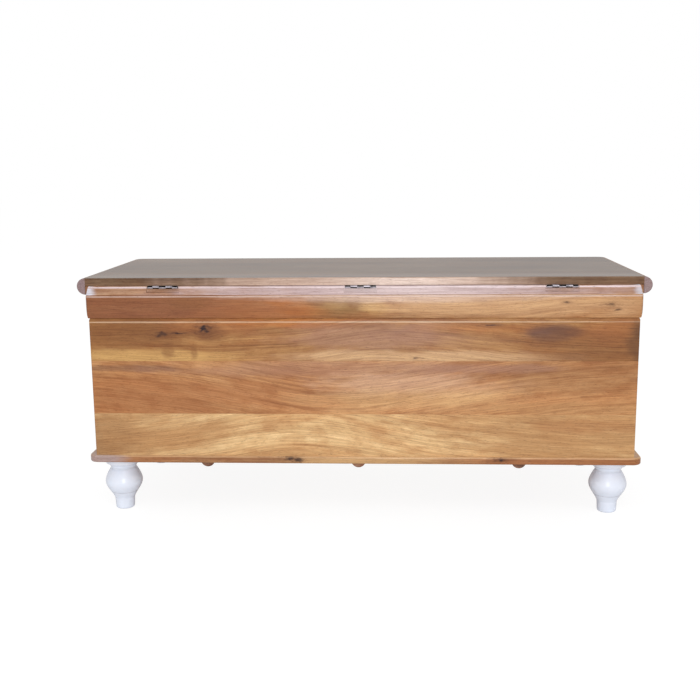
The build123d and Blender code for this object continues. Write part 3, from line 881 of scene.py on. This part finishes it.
# %% Finish the metal
for leaf, open_side in (("lid", 1.0), ("body", -1.0)):
    nickel = plated_metal(
        f"hinge_nickel_{leaf}", tone(190, 184, 192), tone(150, 144, 150), 0.4, open_side=open_side
    )
    wear(nickel, *pieces(f"hinge_{leaf}_leaf"))
# The pins are coloured near black, so they read as the shade inside the knuckle gaps.
pin_shade_black = plated_metal("pin_steel", tone(22, 19, 19), tone(12, 10, 10), 0.7, metallic=0.0)
wear(pin_shade_black, *pieces("hinge_pin"))
zinc = plated_metal("screw_zinc", tone(206, 202, 190), tone(164, 158, 144), 0.26)
wear(zinc, *pieces("hinge_screws", "base_screws", "bearer_screws", "batten_screws", "foot_bolts"))
print("hinges:", len(pieces("hinge_pin")), "with pins and screws")

# %% [markdown]
# ## A white floor
#
# The box stands on a floor that can't be told from the background. More light would make any floor
# white, but it would bleach the box as well. So the floor glows, and only for the camera. For every
# other ray it is a plain pale floor, which throws soft light up at the bottom board.

# %% Lay the floor
floor_side = 40.0
floor_seen, floor_felt = tone(112, 112, 112), tone(242, 242, 242)
floor_glow = 0.9

bpy.ops.object.select_all(action="DESELECT")
bpy.ops.mesh.primitive_plane_add(size=floor_side, location=(0.0, 0.0, 0.0))
floor = bpy.context.object
floor.name = "floor"
floor_finish, place, shader = new_finish("floor_white")
seen = place.node("LightPath", {}, output="Is Camera Ray")
seen.between(floor_felt, floor_seen).into(shader, "Base Color")
(seen * floor_glow).into(shader, "Emission Color")
shader.inputs["Emission Strength"].default_value = 1.0
shader.inputs["Specular IOR Level"].default_value = 0.0
shader.inputs["Roughness"].default_value = 0.9
floor.data.materials.append(floor_finish)
print("floor", floor_side, "metres wide")

# %% [markdown]
# ## A white room
#
# Round the box is an even white room. The camera sees it as full white. The box, and what its lacquer
# mirrors, gets less than two thirds of that, so that the lamps still shape it and the mirrored room
# doesn't veil the planks. A picture of a real room could light the box too, but its lacquer would
# then mirror windows that aren't there.

# %% Set up the room
room_light = 0.62

world = bpy.data.worlds.new("white_room")
bpy.context.scene.world = world
world.use_nodes = True
air = Strand(world.node_tree, None)
to_camera = air.node("LightPath", {}, output="Is Camera Ray")
passing_through = air.node("LightPath", {}, output="Is Transmission Ray")
seen = air.maths("MAXIMUM", to_camera, passing_through)
background = world.node_tree.nodes["Background"]
background.inputs["Color"].default_value = (1.0, 1.0, 1.0, 1.0)
(seen * (1.0 - room_light) + room_light).into(background, "Strength")
print("the room lights the box at", room_light)

# %% [markdown]
# ## Three soft lamps
#
# A tall lamp behind the camera gives the gleam along the rim and the lid's edge. One above the camera
# lights the back wall, and one on the far side reaches over the lid and keeps the front from falling
# dark. A sun lamp would be simpler, but it has hard shadows and leaves no broad gleam on lacquer.

# %% Hang the lamps
def soft_lamp(name, place, width, height, watts):
    """A lamp that faces the middle of the box."""
    bpy.ops.object.light_add(type="AREA", location=place)
    lamp = bpy.context.object
    lamp.name = name
    lamp.data.shape = "RECTANGLE"
    lamp.data.size = width
    lamp.data.size_y = height
    lamp.data.energy = watts
    lamp.rotation_euler = (middle - Vector(place)).to_track_quat("-Z", "Y").to_euler()


soft_lamp("tall_lamp", place=(-0.1, 3.4, 0.8), width=0.5, height=1.5, watts=32.0)
soft_lamp("lamp_above_camera", place=(-0.6, 2.6, 3.4), width=1.6, height=1.6, watts=26.0)
soft_lamp("lamp_far_side", place=(0.6, -2.0, 3.6), width=2.0, height=2.0, watts=30.0)
